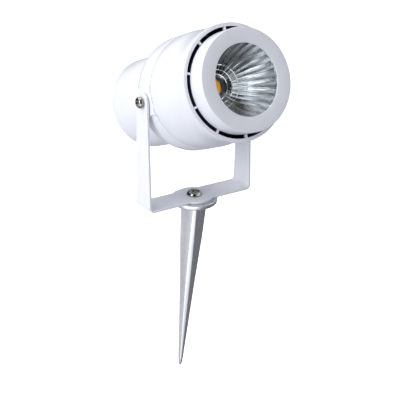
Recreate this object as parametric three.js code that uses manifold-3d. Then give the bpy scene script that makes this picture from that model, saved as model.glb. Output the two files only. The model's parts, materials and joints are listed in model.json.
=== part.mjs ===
// Garden spotlight on a ground spike.
// Millimetres, +Z up. The origin is the centre of the spike flange's underside, at soil level.
// The lamp head points along -Y at zero tilt, and X is the tilt axis of the head.
// Inside the head, a place is given by its radius from the lamp axis and its distance
// forward of the tilt axis ("forward" below, negative towards the cable inlet).

import * as THREE from 'three';
import { mergeVertices } from 'three/addons/utils/BufferGeometryUtils.js';
import Module from 'manifold-3d';

const wasm = await Module();
wasm.setup();

// ---- Driving dimensions -------------------------------------------------------------------
const GAP = 0.3;
const HEAD_TILT = THREE.MathUtils.degToRad(22.7);

// Spike
const FLANGE_RADIUS = 22.5;
const FLANGE_THICKNESS = 5;
const SHAFT_LENGTH = 183.5;
const SHAFT_TURN = THREE.MathUtils.degToRad(18);
const TIP_OFFSET = [-10.7, 6.9];
const SHAFT_STATIONS = [
  [0, 19.8, 0.11], [0.21, 17.9, 0.16], [0.48, 13.2, 0.22], [0.95, 4.5, 0.24], [0.985, 3.4, 0.24], [1, 1.6, 0.24],
];
const SPIKE_THREAD_DEPTH = 22;

// Bracket
const SHEET = 2;
const BRACKET_INNER_HALF = 54.7;
const BRACKET_BOTTOM = FLANGE_THICKNESS + GAP;
const BEND_INNER_RADIUS = 3;
const ARM_BASE_WIDTH = 27;
const ARM_TOP_WIDTH = 17.9;
const BOSS_RADIUS = 18.3;
const PIVOT_HEIGHT = BRACKET_BOTTOM + 104.5;
const BRACKET_OUTER_HALF = BRACKET_INNER_HALF + SHEET;

// Screws: head diameter and height, shank diameter and length, width of the cross recess
const BASE_SCREW = { head: 14.5, height: 4.2, shank: 8, length: 20, recess: 1.9, sides: 20 };
const PIVOT_SCREW = { head: 10.6, height: 3.6, shank: 5, length: 9.4, recess: 1.4, sides: 20 };
const SMALL_SCREW = { head: 5.2, height: 2.2, shank: 3, length: 10, recess: 0.8, sides: 10 };
const LOCK_WASHER_THICKNESS = 1.1;
const SPACER_THICKNESS = 0.6;

// Lamp head, forward distances
const FACE = 87.5;
const LIP = 69.7;
const CREASE = 12.3;
const PLATE_FRONT = 40;
const PLATE_REAR = 34;
const WELL_FLOOR = 31;
const BULKHEAD_FRONT = -18;
const BULKHEAD_REAR = -24.1;
const REAR_RIM = -25.6;
const REAR_FACE = -89.9;

// Lamp head, radii
const APERTURE_RADIUS = 31.6;
const BARREL_RADIUS = 45.3;
const BARREL_WALL = 2.6;
const LIP_INNER_RADIUS = 48.7;
const SHROUD_RADIUS = 53.2;
const RING_RADIUS = 53.4;
const REAR_RADIUS = 43.5;
const REAR_WALL = 2.8;
const SPIGOT_RADIUS = 50;
const PAD_FLAT = 53.5;
const PAD_HALF_HEIGHT = 13.5;
const PAD_REAR = -9.5;
const TAB_COUNT = 10;
const TAB_WIDTH = 2;

// Reflector: a parabola from the throat to the mouth
const FACET_COUNT = 34;
const THROAT_FORWARD = 36.3;
const MOUTH_RADIUS = 35.2;
const MOUTH_FORWARD = 82.8;
const REFLECTOR_WALL = 1;

// Heat sink
const FIN_COUNT = 24;
const FIN_THICKNESS = 1.5;
const FIN_RADIUS = 46;
const FIN_REAR = -14;
const HUB_RADIUS = 14;
const PEDESTAL_RADIUS = 23.9;
const PEDESTAL_REAR = 25;
const LEAD_RADIUS = 0.8;
const LEAD_HEIGHT = 27;
const LEAD_SPACING = 2.2;

// Screw circles
const HUB_SCREW_CIRCLE = 9;
const BEZEL_SCREW_CIRCLE = 41;
const REAR_SCREW_CIRCLE = 36.4;
const HOLDER_SCREW_CIRCLE = 17.2;
const THREE_AROUND = [90, 210, 330];

// Rounds
const SHELL_SIDES = 40;
const RING_SIDES = 24;
const BAR_SIDES = 16;
const HOLE_SIDES = 10;

// ---- Solid helpers ------------------------------------------------------------------------
// Merges the shared points, drops triangles without area and turns the faces outwards.
function closed(source) {
  const bare = source.clone();
  bare.deleteAttribute('normal');
  bare.deleteAttribute('uv');
  const merged = mergeVertices(bare, 1e-3);
  const points = merged.attributes.position;
  const kept = [];
  let volume = 0;
  const a = new THREE.Vector3();
  const b = new THREE.Vector3();
  const c = new THREE.Vector3();
  for (let i = 0; i < merged.index.count; i += 3) {
    const [p, q, r] = [0, 1, 2].map((k) => merged.index.getX(i + k));
    if (p === q || q === r || r === p) continue;
    a.fromBufferAttribute(points, p);
    b.fromBufferAttribute(points, q);
    c.fromBufferAttribute(points, r);
    volume += a.dot(b.cross(c));
    kept.push([p, q, r]);
  }
  const facing = volume > 0 ? kept : kept.map(([p, q, r]) => [p, r, q]);
  const result = new THREE.BufferGeometry();
  result.setAttribute('position', points.clone());
  result.setIndex(facing.flat());
  return result;
}

function toManifold(geometry) {
  const solid = closed(geometry);
  return new wasm.Manifold(new wasm.Mesh({
    numProp: 3,
    vertProperties: new Float32Array(solid.attributes.position.array),
    triVerts: new Uint32Array(solid.index.array),
  }));
}

function toGeometry(manifold) {
  const mesh = manifold.getMesh();
  const geometry = new THREE.BufferGeometry();
  geometry.setAttribute('position', new THREE.BufferAttribute(new Float32Array(mesh.vertProperties), 3));
  geometry.setIndex([...mesh.triVerts]);
  return geometry;
}

// Adds the geometries together and takes the cutters away.
function carve(parts, cutters = []) {
  let solid = toManifold(parts[0]);
  for (const part of parts.slice(1)) solid = solid.add(toManifold(part));
  for (const cutter of cutters) solid = solid.subtract(toManifold(cutter));
  return toGeometry(solid);
}

// A turned piece about the lamp axis, from [radius, forward] points.
function turned(outline, sides, isRing = true) {
  const points = outline.map(([radius, forward]) => new THREE.Vector2(radius, -forward));
  if (isRing) points.push(points[0].clone());
  return closed(new THREE.LatheGeometry(points, sides));
}

// A turned piece about Z, from [radius, z] points that start and end on the axis.
function turnedUpright(outline, sides) {
  const points = outline.map(([radius, z]) => new THREE.Vector2(radius, z));
  return closed(new THREE.LatheGeometry(points, sides).rotateX(Math.PI / 2));
}

// A round bar along the lamp axis at the place [x, z].
function bar(radius, rear, front, x, z, sides = BAR_SIDES) {
  return turned([[0, rear], [radius, rear], [radius, front], [0, front]], sides, false).translate(x, 0, z);
}

// A block between two corners, with forward distances turned into -Y.
function block([x0, forward0, z0], [x1, forward1, z1]) {
  return new THREE.BoxGeometry(x1 - x0, forward1 - forward0, z1 - z0)
    .translate((x0 + x1) / 2, -(forward0 + forward1) / 2, (z0 + z1) / 2);
}

function onCircle(radius, degrees) {
  const angle = THREE.MathUtils.degToRad(degrees);
  return [radius * Math.cos(angle), radius * Math.sin(angle)];
}

// Points of an arc from one angle to another, in degrees, about [x, y].
function arc([x, y], radius, from, to, steps) {
  return Array.from({ length: steps + 1 }, (_, i) => {
    const [dx, dy] = onCircle(radius, from + (to - from) * i / steps);
    return [x + dx, y + dy];
  });
}

function toShape(outline) {
  return new THREE.Shape(outline.map(([x, y]) => new THREE.Vector2(x, y)));
}

// ---- Materials ----------------------------------------------------------------------------
const FINISHES = {
  whitePaint: [0xf1f2f4, 0.45, 0],
  castAluminium: [0xb9bcc2, 0.45, 0.9],
  heatSinkAluminium: [0x1c1c1f, 0.5, 0.6],
  mirror: [0xe8eaee, 0.12, 1],
  stainless: [0xb4b4b4, 0.25, 1],
  blackRubber: [0x1c1d1f, 0.85, 0],
  clearGlass: [0xdfe8ea, 0.05, 0],
  phosphor: [0xe0a23a, 0.6, 0],
  greyPlastic: [0x4a4b4f, 0.6, 0],
  ceramic: [0xd9dadc, 0.5, 0.1],
  circuitBoard: [0x1f6b3c, 0.5, 0],
  blackPlastic: [0x222326, 0.55, 0],
  redSleeve: [0xb0222a, 0.5, 0],
  transformerTape: [0xd8b43c, 0.5, 0],
};

function piece(name, geometry, finish) {
  const [color, roughness, metalness] = FINISHES[finish];
  const shown = geometry.clone();
  shown.computeVertexNormals();
  const mesh = new THREE.Mesh(shown, new THREE.MeshStandardMaterial({ color, roughness, metalness }));
  mesh.name = name;
  return mesh;
}

// ---- Screws and washers -------------------------------------------------------------------
// A pan head screw along Z: the head stands on z = 0 and the shank hangs below it.
function panScrew({ head: headDiameter, height, shank, length, recess, sides }) {
  const headRadius = headDiameter / 2;
  const shankRadius = shank / 2;
  const body = turnedUpright([
    [0, -length],
    [shankRadius, -length],
    [shankRadius, 0],
    [headRadius, 0],
    [headRadius, height * 0.35],
    [headRadius * 0.8, height * 0.8],
    [0, height],
  ], sides);
  const slots = [0, Math.PI / 2].map((turn) => (
    new THREE.BoxGeometry(headDiameter * 0.56, recess, height * 1.1).rotateZ(turn).translate(0, 0, height)
  ));
  return carve([body], slots);
}

// The same screw with its head towards the front (or the back) of the lamp.
function lampScrew(size, seat, x, z, facesFront = true) {
  const turn = facesFront ? Math.PI / 2 : -Math.PI / 2;
  return panScrew(size).rotateX(turn).translate(x, -seat, z);
}

// A flat ring about X whose near face is at the given x, growing away from the lamp.
function sideRing(innerRadius, outerRadius, thickness, x, side) {
  const outline = [[innerRadius, 0], [outerRadius, 0], [outerRadius, thickness], [innerRadius, thickness]];
  const points = [...outline, outline[0]].map(([radius, height]) => new THREE.Vector2(radius, height));
  return closed(new THREE.LatheGeometry(points, BAR_SIDES))
    .rotateZ(-side * Math.PI / 2)
    .translate(side * x, 0, 0);
}

// ---- Spike --------------------------------------------------------------------------------
// A square bar with cut corners, drawn two units wide, then narrowed and leaned along its length.
// Each station gives its share of the shaft's length, its width across the flats, and how much of
// that width is cut off at each corner.
function spikeShaft() {
  const corners = [[0.5, -1], [1, -0.5], [1, 0.5], [0.5, 1]];
  const outline = [...corners, ...corners.map(([x, y]) => [-x, -y])];
  const steps = SHAFT_STATIONS.length - 1;
  const shaft = new THREE.ExtrudeGeometry(toShape(outline), { depth: 1, steps, bevelEnabled: false });
  const points = shaft.attributes.position;
  const overlap = 1;
  for (let i = 0; i < points.count; i += 1) {
    const [share, width, cut] = SHAFT_STATIONS[Math.round(points.getZ(i) * steps)];
    const across = [points.getX(i), points.getY(i)].map((side) => (
      Math.abs(side) > 0.75 ? side * width / 2 : Math.sign(side) * width * (0.5 - cut)
    ));
    const corner = new THREE.Vector2(...across).rotateAround(new THREE.Vector2(), SHAFT_TURN);
    points.setXYZ(
      i,
      corner.x + TIP_OFFSET[0] * share,
      corner.y + TIP_OFFSET[1] * share,
      overlap - share * (SHAFT_LENGTH + overlap),
    );
  }
  return closed(shaft);
}

function spike() {
  const edge = 1.2;
  const flange = turnedUpright([
    [0, 0],
    [FLANGE_RADIUS - edge, 0],
    [FLANGE_RADIUS, edge],
    [FLANGE_RADIUS, FLANGE_THICKNESS - edge / 2],
    [FLANGE_RADIUS - edge / 2, FLANGE_THICKNESS],
    [0, FLANGE_THICKNESS],
  ], SHELL_SIDES);
  const threadRadius = BASE_SCREW.shank / 2 + GAP;
  const thread = new THREE.CylinderGeometry(threadRadius, threadRadius, SPIKE_THREAD_DEPTH * 2, BAR_SIDES)
    .rotateX(Math.PI / 2)
    .translate(0, 0, FLANGE_THICKNESS);
  return carve([flange, spikeShaft()], [thread]);
}

// ---- Bracket ------------------------------------------------------------------------------
// Front view of the bent strap, open at the top.
function strapOutline() {
  const top = PIVOT_HEIGHT + ARM_TOP_WIDTH;
  const bottom = BRACKET_BOTTOM;
  const inner = BRACKET_INNER_HALF;
  const outer = BRACKET_OUTER_HALF;
  const bendX = inner - BEND_INNER_RADIUS;
  const bendZ = bottom + SHEET + BEND_INNER_RADIUS;
  const outerBend = BEND_INNER_RADIUS + SHEET;
  return [
    [-outer, top],
    ...arc([-bendX, bendZ], outerBend, 180, 270, 4),
    ...arc([bendX, bendZ], outerBend, 270, 360, 4),
    [outer, top],
    [inner, top],
    ...arc([bendX, bendZ], BEND_INNER_RADIUS, 360, 270, 4),
    ...arc([-bendX, bendZ], BEND_INNER_RADIUS, 270, 180, 4),
    [-inner, top],
  ];
}

// Side view of the arms: they narrow towards a round end about the tilt axis.
function armOutline() {
  const endRadius = ARM_TOP_WIDTH / 2;
  return [
    [-ARM_BASE_WIDTH / 2, 0],
    [ARM_BASE_WIDTH / 2, 0],
    ...arc([0, PIVOT_HEIGHT], endRadius, 0, 180, 12),
  ];
}

function bracket() {
  const depth = 3 * ARM_BASE_WIDTH;
  const strap = new THREE.ExtrudeGeometry(toShape(strapOutline()), { depth, bevelEnabled: false })
    .translate(0, 0, -depth / 2)
    .rotateX(Math.PI / 2);
  const span = 3 * BRACKET_OUTER_HALF;
  const sides = new THREE.ExtrudeGeometry(toShape(armOutline()), { depth: span, bevelEnabled: false })
    .translate(0, 0, -span / 2)
    .rotateX(Math.PI / 2)
    .rotateZ(Math.PI / 2);
  const boss = new THREE.CylinderGeometry(BOSS_RADIUS, BOSS_RADIUS, 4 * SHEET, SHELL_SIDES)
    .rotateX(Math.PI / 2)
    .translate(0, 0, BRACKET_BOTTOM);
  const cutShape = toManifold(carve([sides, boss]));
  const body = toGeometry(toManifold(strap).intersect(cutShape));
  const baseHoleRadius = BASE_SCREW.shank / 2 + GAP;
  const baseHole = new THREE.CylinderGeometry(baseHoleRadius, baseHoleRadius, 6 * SHEET, BAR_SIDES)
    .rotateX(Math.PI / 2)
    .translate(0, 0, BRACKET_BOTTOM);
  const pivotHoleRadius = PIVOT_SCREW.shank / 2 + GAP;
  const pivotHole = new THREE.CylinderGeometry(pivotHoleRadius, pivotHoleRadius, span, BAR_SIDES)
    .rotateZ(Math.PI / 2)
    .translate(0, 0, PIVOT_HEIGHT);
  return carve([body], [baseHole, pivotHole]);
}

// ---- Front of the lamp --------------------------------------------------------------------
const GLASS = { radius: 40.2, front: 85.7, rear: 83.1 };
const GASKET_RADIUS = 42.4;

function frontBezel() {
  const bore = BARREL_RADIUS - BARREL_WALL;
  const flangeRadius = 36.5;
  const flangeFront = 47;
  const rear = PLATE_FRONT + GAP;
  const barrel = turned([
    [APERTURE_RADIUS, FACE - 0.3],
    [APERTURE_RADIUS + 0.3, FACE],
    [BARREL_RADIUS - 0.7, FACE],
    [BARREL_RADIUS, FACE - 0.7],
    [BARREL_RADIUS, rear],
    [flangeRadius, rear],
    [flangeRadius, flangeFront],
    [bore, flangeFront],
    [bore, FACE - 1.5],
    [APERTURE_RADIUS, FACE - 1.5],
  ], SHELL_SIDES);
  const threads = THREE_AROUND.map((degrees) => {
    const [x, z] = onCircle(BEZEL_SCREW_CIRCLE, degrees);
    return bar(SMALL_SCREW.shank / 2 + GAP, PLATE_FRONT, flangeFront - 1, x, z, HOLE_SIDES);
  });
  return carve([barrel], threads);
}

function frontGlass() {
  const { radius, front, rear } = GLASS;
  return turned([[0, front], [radius, front], [radius, rear], [0, rear]], SHELL_SIDES, false);
}

function glassGasket() {
  const lipRadius = 37.6;
  const rear = GLASS.rear - 2.1;
  return turned([
    [lipRadius, rear],
    [GASKET_RADIUS, rear],
    [GASKET_RADIUS, GLASS.front],
    [GLASS.radius + GAP, GLASS.front],
    [GLASS.radius + GAP, GLASS.rear - GAP],
    [lipRadius, GLASS.rear - GAP],
  ], SHELL_SIDES);
}

// Radius of the mirror surface at a forward distance: a bowl that flares quickly at the light source.
function mirrorRadius(forward) {
  const apex = THROAT_FORWARD - 1.5;
  return MOUTH_RADIUS * ((forward - apex) / (MOUTH_FORWARD - apex)) ** 0.367;
}

function reflector() {
  const rows = 10;
  const flangeRadius = 37.3;
  const flangeThickness = 1.2;
  const length = MOUTH_FORWARD - THROAT_FORWARD;
  const places = Array.from({ length: rows + 1 }, (_, i) => THROAT_FORWARD + length * (i / rows) ** 1.7);
  const inside = places.map((forward) => [mirrorRadius(forward), forward]);
  const outside = inside.slice(0, -2).reverse().map(([radius, forward]) => [radius + REFLECTOR_WALL, forward]);
  const flangeRear = MOUTH_FORWARD - flangeThickness;
  return turned([
    ...inside,
    [flangeRadius, MOUTH_FORWARD],
    [flangeRadius, flangeRear],
    [mirrorRadius(flangeRear) + REFLECTOR_WALL, flangeRear],
    ...outside,
  ], FACET_COUNT);
}

// ---- Light source -------------------------------------------------------------------------
const BOARD_HALF = 8;
const BOARD_THICKNESS = 1;
const EMITTER_RADIUS = 7;
const EMITTER_THICKNESS = 0.9;
const HOLDER_RADIUS = 20.6;
const HOLDER_TOP = 35.7;
const BOARD_REAR = WELL_FLOOR + GAP;
const EMITTER_REAR = BOARD_REAR + BOARD_THICKNESS + GAP;

function cobBoard() {
  return block([-BOARD_HALF, BOARD_REAR, -BOARD_HALF], [BOARD_HALF, BOARD_REAR + BOARD_THICKNESS, BOARD_HALF]);
}

function cobEmitter() {
  return bar(EMITTER_RADIUS, EMITTER_REAR, EMITTER_REAR + EMITTER_THICKNESS, 0, 0, RING_SIDES);
}

function cobHolder() {
  const recess = 12;
  const recessFront = EMITTER_REAR + EMITTER_THICKNESS + GAP;
  const ring = turned([
    [recess, BOARD_REAR],
    [HOLDER_RADIUS, BOARD_REAR],
    [HOLDER_RADIUS, HOLDER_TOP - 0.8],
    [HOLDER_RADIUS - 0.8, HOLDER_TOP],
    [8.6, HOLDER_TOP],
    [7.4, recessFront],
    [recess, recessFront],
  ], RING_SIDES);
  const holes = [0, 180].map((degrees) => {
    const [x, z] = onCircle(HOLDER_SCREW_CIRCLE, degrees);
    return bar(SMALL_SCREW.shank / 2 + GAP, WELL_FLOOR, HOLDER_TOP + 1, x, z, HOLE_SIDES);
  });
  return carve([ring], holes);
}

// ---- Heat sink ----------------------------------------------------------------------------
function heatSink() {
  const hubRear = BULKHEAD_FRONT + GAP;
  const core = turned([
    [0, hubRear],
    [HUB_RADIUS, hubRear],
    [HUB_RADIUS, PEDESTAL_REAR],
    [PEDESTAL_RADIUS, PEDESTAL_REAR],
    [PEDESTAL_RADIUS, PLATE_REAR],
    [BARREL_RADIUS, PLATE_REAR],
    [BARREL_RADIUS, PLATE_FRONT],
    [0, PLATE_FRONT],
  ], SHELL_SIDES, false);
  const pitch = 360 / FIN_COUNT;
  const fins = Array.from({ length: FIN_COUNT }, (_, i) => (
    block([HUB_RADIUS - 1, FIN_REAR, -FIN_THICKNESS / 2], [FIN_RADIUS, PLATE_REAR + 1, FIN_THICKNESS / 2])
      .rotateY(THREE.MathUtils.degToRad((i + 0.5) * pitch))
  ));
  const screwHole = SMALL_SCREW.shank / 2 + GAP;
  const holes = [
    bar(HOLDER_RADIUS + GAP, WELL_FLOOR, PLATE_FRONT + 1, 0, 0, SHELL_SIDES),
    bar(LEAD_SPACING, PLATE_REAR - 1, PLATE_FRONT + 1, 0, LEAD_HEIGHT, HOLE_SIDES),
    ...THREE_AROUND.map((degrees) => {
      const [x, z] = onCircle(BEZEL_SCREW_CIRCLE, degrees);
      return bar(screwHole, PLATE_REAR - 1, PLATE_FRONT + 1, x, z, HOLE_SIDES);
    }),
    ...THREE_AROUND.map((degrees) => {
      const [x, z] = onCircle(HUB_SCREW_CIRCLE, degrees);
      return bar(screwHole, hubRear - 1, hubRear + 8, x, z, HOLE_SIDES);
    }),
    ...[0, 180].map((degrees) => {
      const [x, z] = onCircle(HOLDER_SCREW_CIRCLE, degrees);
      return bar(screwHole, PEDESTAL_REAR + 0.7, WELL_FLOOR + 1, x, z, HOLE_SIDES);
    }),
  ];
  return carve([core, ...fins], holes);
}

// ---- Housings -----------------------------------------------------------------------------
function shroud() {
  const bore = SPIGOT_RADIUS + GAP;
  const jacket = turned([
    [bore, CREASE],
    [SHROUD_RADIUS, CREASE],
    [SHROUD_RADIUS, 26],
    [52.75, 33],
    [51.8, 40],
    [51.4, 47],
    [51.6, 54],
    [52.2, 62],
    [52.2, LIP - 0.6],
    [51.6, LIP],
    [LIP_INNER_RADIUS, LIP],
    [LIP_INNER_RADIUS, 62],
    [48.9, 50],
    [49.3, 40],
    [bore, 31],
  ], SHELL_SIDES);
  const tabs = Array.from({ length: TAB_COUNT }, (_, i) => (
    block([BARREL_RADIUS + GAP, LIP - 3, -TAB_WIDTH / 2], [LIP_INNER_RADIUS + 1, LIP - 0.2, TAB_WIDTH / 2])
      .rotateY(THREE.MathUtils.degToRad(18 + i * 360 / TAB_COUNT))
  ));
  return carve([jacket, ...tabs]);
}

function midHousing() {
  const front = CREASE - GAP;
  const spigotFront = 18;
  const spigotBore = 47.6;
  const shoulderStart = -6;
  const shoulderRadius = 22;
  const shoulder = arc([RING_RADIUS - shoulderRadius, shoulderStart], shoulderRadius, 0, -55, 6);
  const ring = turned([
    [0, BULKHEAD_FRONT],
    [46.2, BULKHEAD_FRONT],
    [SPIGOT_RADIUS, -11],
    [SPIGOT_RADIUS, 8],
    [spigotBore, 10.5],
    [spigotBore, spigotFront],
    [SPIGOT_RADIUS, spigotFront],
    [SPIGOT_RADIUS, front],
    [RING_RADIUS, front],
    ...shoulder,
    [REAR_RADIUS, BULKHEAD_REAR],
    [0, BULKHEAD_REAR],
  ], SHELL_SIDES, false);
  const padBase = 49;
  const threadDepth = 6.5;
  const threadRadius = PIVOT_SCREW.shank / 2 + GAP;
  const pads = [-1, 1].flatMap((side) => {
    const [x0, x1] = side > 0 ? [padBase, PAD_FLAT] : [-PAD_FLAT, -padBase];
    const bossLength = 7;
    const boss = new THREE.CylinderGeometry(5.5, 5.5, bossLength, BAR_SIDES)
      .rotateZ(Math.PI / 2)
      .translate(side * (PAD_FLAT - bossLength / 2), 0, 0);
    return [block([x0, PAD_REAR, -PAD_HALF_HEIGHT], [x1, front, PAD_HALF_HEIGHT]), boss];
  });
  const threads = [-1, 1].map((side) => (
    new THREE.CylinderGeometry(threadRadius, threadRadius, threadDepth * 2, BAR_SIDES)
      .rotateZ(Math.PI / 2)
      .translate(side * PAD_FLAT, 0, 0)
  ));
  const screwHole = SMALL_SCREW.shank / 2 + GAP;
  const holes = [[HUB_SCREW_CIRCLE, THREE_AROUND], [REAR_SCREW_CIRCLE, THREE_AROUND]]
    .flatMap(([radius, angles]) => angles.map((degrees) => onCircle(radius, degrees)))
    .map(([x, z]) => bar(screwHole, BULKHEAD_REAR - 1, BULKHEAD_FRONT + 1, x, z, 12));
  const leadHole = bar(4, BULKHEAD_REAR - 1, BULKHEAD_FRONT + 1, 0, LEAD_HEIGHT);
  return carve([ring, ...pads], [...threads, ...holes, leadHole]);
}

function housingGasket() {
  const rear = REAR_RIM + GAP;
  const front = BULKHEAD_REAR - GAP;
  const inner = REAR_RADIUS - REAR_WALL + 0.2;
  const outer = REAR_RADIUS - 0.3;
  return turned([[inner, rear], [outer, rear], [outer, front], [inner, front]], SHELL_SIDES);
}

const INLET_RADIUS = 6;

function rearHousing() {
  const edge = 6;
  const bore = REAR_RADIUS - REAR_WALL;
  const floor = REAR_FACE + REAR_WALL;
  const cup = turned([
    [bore, REAR_RIM],
    [REAR_RADIUS, REAR_RIM],
    ...arc([REAR_RADIUS - edge, REAR_FACE + edge], edge, 0, -90, 5),
    [INLET_RADIUS + GAP, REAR_FACE],
    [INLET_RADIUS + GAP, floor],
    ...arc([bore - edge / 2, floor + edge / 2], edge / 2, -90, 0, 2),
  ], SHELL_SIDES);
  const postLength = 18;
  const posts = THREE_AROUND.map((degrees) => {
    const [x, z] = onCircle(REAR_SCREW_CIRCLE, degrees);
    return bar(3.4, REAR_RIM - postLength, REAR_RIM, x, z, HOLE_SIDES);
  });
  const webs = THREE_AROUND.map((degrees) => (
    block([REAR_SCREW_CIRCLE, REAR_RIM - postLength, -1.5], [bore + 1, REAR_RIM, 1.5])
      .rotateY(THREE.MathUtils.degToRad(-degrees))
  ));
  const threads = THREE_AROUND.map((degrees) => {
    const [x, z] = onCircle(REAR_SCREW_CIRCLE, degrees);
    return bar(SMALL_SCREW.shank / 2 + GAP, REAR_RIM - 8, REAR_RIM + 1, x, z, HOLE_SIDES);
  });
  return carve([cup, ...posts, ...webs], threads);
}

// ---- Driver -------------------------------------------------------------------------------
const TRAY = { half: 25, bottom: -24, top: -4, rear: -80, front: -30, wall: 1.5 };
const PCB = { half: 22, bottom: -17, thickness: 1.6, rear: -78, front: -32 };
const PCB_TOP = PCB.bottom + PCB.thickness + GAP;

function driverTray() {
  const { half, bottom, top, rear, front, wall } = TRAY;
  const hollow = block([-half + wall, rear - 1, bottom + wall], [half - wall, front + 1, top + 1]);
  return carve([block([-half, rear, bottom], [half, front, top])], [hollow]);
}

function driverBoard() {
  const { half, bottom, thickness, rear, front } = PCB;
  return block([-half, rear, bottom], [half, front, bottom + thickness]);
}

function driverTransformer() {
  const coil = block([-8, -62, PCB_TOP], [8, -46, PCB_TOP + 14]);
  const core = block([-10.5, -58, PCB_TOP + 2], [10.5, -50, PCB_TOP + 17]);
  return carve([coil, core]);
}

function driverCapacitor(x) {
  const radius = 5;
  const can = turnedUpright([
    [0, PCB_TOP],
    [radius, PCB_TOP],
    [radius, PCB_TOP + 15.2],
    [radius - 0.8, PCB_TOP + 16],
    [0, PCB_TOP + 16],
  ], BAR_SIDES);
  return can.translate(x, 70, 0);
}

function driverInductor() {
  return turnedUpright([
    [0, PCB_TOP],
    [5.5, PCB_TOP],
    [5.5, PCB_TOP + 1.5],
    [4.2, PCB_TOP + 2.5],
    [4.2, PCB_TOP + 7.5],
    [5.5, PCB_TOP + 8.5],
    [5.5, PCB_TOP + 10],
    [0, PCB_TOP + 10],
  ], BAR_SIDES).translate(14.5, 42, 0);
}

function terminalBlock() {
  const body = block([-7.5, -41, PCB_TOP], [7.5, -34, PCB_TOP + 9]);
  const doors = [-5, 0, 5].map((x) => bar(1.5, -36, -33, x, PCB_TOP + 4, HOLE_SIDES));
  return carve([body], doors);
}

// A sleeved lead from above the terminal block, through the bulkhead, to the lamp holder.
function ledLead(x) {
  const start = PCB_TOP + 9 + GAP + LEAD_RADIUS;
  const end = HOLDER_TOP + GAP + LEAD_RADIUS;
  const route = new THREE.CatmullRomCurve3([
    [-37, start],
    [-33, start + 3],
    [-29, LEAD_HEIGHT - 6],
    [-25.5, LEAD_HEIGHT],
    [0, LEAD_HEIGHT],
    [PLATE_FRONT, LEAD_HEIGHT],
    [PLATE_FRONT + 2.2, LEAD_HEIGHT - 1],
    [PLATE_FRONT + 2.7, LEAD_HEIGHT - 4.2],
    [PLATE_FRONT + 1.5, HOLDER_RADIUS - 0.9],
    [PLATE_FRONT - 1.5, HOLDER_RADIUS - 2.2],
    [end, HOLDER_RADIUS - 3.4],
  ].map(([forward, z]) => new THREE.Vector3(x, -forward, z)), false, 'centripetal');
  const section = toShape(arc([0, 0], LEAD_RADIUS, 0, 300, 5));
  return closed(new THREE.ExtrudeGeometry(section, { steps: 30, extrudePath: route, bevelEnabled: false }));
}

function leadGrommet() {
  const front = BULKHEAD_FRONT + GAP;
  const rear = BULKHEAD_REAR - GAP;
  return turned([
    [2.6, rear - 1],
    [5.2, rear - 1],
    [5.2, rear],
    [3.7, rear],
    [3.7, front],
    [5.2, front],
    [5.2, front + 1],
    [2.6, front + 1],
  ], BAR_SIDES).translate(0, 0, LEAD_HEIGHT);
}

// ---- Cable inlet --------------------------------------------------------------------------
const CABLE_BORE = 4.5;
const SEAL_BORE = 4.2;
const INLET_SEAT = REAR_FACE - 1.5;

// A six-sided block along the lamp axis.
function hexagon(acrossFlats, rear, front) {
  return bar(acrossFlats / Math.sqrt(3), rear, front, 0, 0, 6);
}

function glandBody() {
  const flangeRear = INLET_SEAT - 4;
  const threadRear = flangeRear - 8;
  const tube = turned([
    [CABLE_BORE, threadRear],
    [INLET_RADIUS, threadRear],
    [INLET_RADIUS, REAR_FACE + 8],
    [CABLE_BORE, REAR_FACE + 8],
  ], RING_SIDES);
  const bore = bar(CABLE_BORE, threadRear - 1, REAR_FACE + 9, 0, 0, RING_SIDES);
  return carve([tube, hexagon(17, flangeRear, INLET_SEAT)], [bore]);
}

function glandORing() {
  const rear = INLET_SEAT + GAP;
  const front = REAR_FACE - GAP;
  return turned([[INLET_RADIUS + GAP, rear], [8, rear], [8, front], [INLET_RADIUS + GAP, front]], RING_SIDES);
}

function glandLockNut() {
  const rear = REAR_FACE + REAR_WALL + GAP;
  const bore = bar(INLET_RADIUS + GAP, rear - 1, rear + 4, 0, 0, RING_SIDES);
  return carve([hexagon(17, rear, rear + 3)], [bore]);
}

function glandSeal() {
  const front = INLET_SEAT - 4 - 8 - GAP;
  return turned([[SEAL_BORE, front - 3], [5.6, front - 3], [5.9, front], [SEAL_BORE, front]], RING_SIDES);
}

function glandNut() {
  const front = INLET_SEAT - 4 - GAP;
  const rear = front - 14;
  const dome = turned([
    [CABLE_BORE, rear],
    [6.2, rear],
    [8.4, rear + 5],
    [8.4, front],
    [CABLE_BORE, front],
  ], RING_SIDES);
  const skirt = hexagon(17, rear + 6, front);
  const chamber = bar(INLET_RADIUS + GAP, rear + 2, front + 1, 0, 0, RING_SIDES);
  const bore = bar(CABLE_BORE, rear - 1, front + 1, 0, 0, RING_SIDES);
  return carve([dome, skirt], [chamber, bore]);
}

// ---- Assembly -----------------------------------------------------------------------------
function pivotFasteners(label, side) {
  const spacerX = PAD_FLAT + GAP;
  const washerX = BRACKET_OUTER_HALF + GAP;
  const seatX = washerX + LOCK_WASHER_THICKNESS + GAP;
  const hole = PIVOT_SCREW.shank / 2 + GAP;
  const screw = panScrew(PIVOT_SCREW).rotateY(side * Math.PI / 2).translate(side * seatX, 0, 0);
  return [
    piece(`pivot_screw_${label}`, screw, 'stainless'),
    piece(`pivot_lock_washer_${label}`, sideRing(hole, 4.6, LOCK_WASHER_THICKNESS, washerX, side), 'stainless'),
    piece(`pivot_spacer_${label}`, sideRing(hole, 6, SPACER_THICKNESS, spacerX, side), 'blackRubber'),
  ];
}

function screwsAround(name, circle, angles, seat, facesFront, size = SMALL_SCREW) {
  return angles.map((degrees, i) => {
    const [x, z] = onCircle(circle, degrees);
    return piece(`${name}_${i + 1}`, lampScrew(size, seat, x, z, facesFront), 'stainless');
  });
}

const holderScrew = { ...SMALL_SCREW, head: 4.8, length: 9 };

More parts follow.
